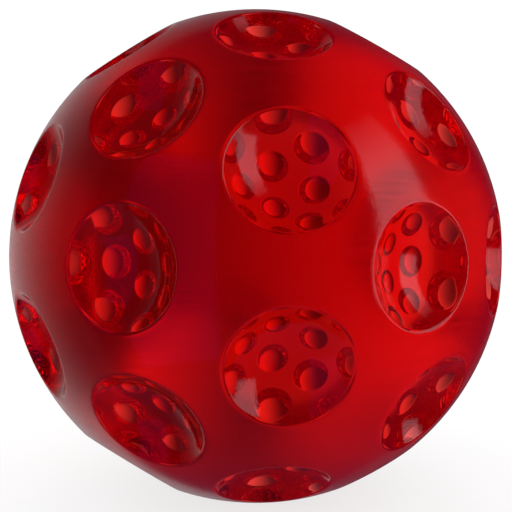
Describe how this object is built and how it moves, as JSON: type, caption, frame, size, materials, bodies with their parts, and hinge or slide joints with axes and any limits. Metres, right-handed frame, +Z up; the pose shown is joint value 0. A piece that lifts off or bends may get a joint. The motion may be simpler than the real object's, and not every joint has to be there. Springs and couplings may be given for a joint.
{
  "type": "crater-textured bouncing ball",
  "caption": "Solid see-through red rubber bouncing ball whose satin surface is covered with equal round polished craters.",
  "frame": {"origin": "centre of the ball", "axes": "+Z up along a crater axis, with a crater centred on each of +X, -X, +Y, -Y, +Z and -Z; the ball stands on the rim of the -Z crater"},
  "size_m": [0.0586, 0.0586, 0.0586],
  "materials": {
    "red_elastomer": "clear deep-red solid elastomer, satin land between the craters, polished inside the craters"
  },
  "bodies": {
    "root": {"ball": "red_elastomer"}
  },
  "joints": []
}
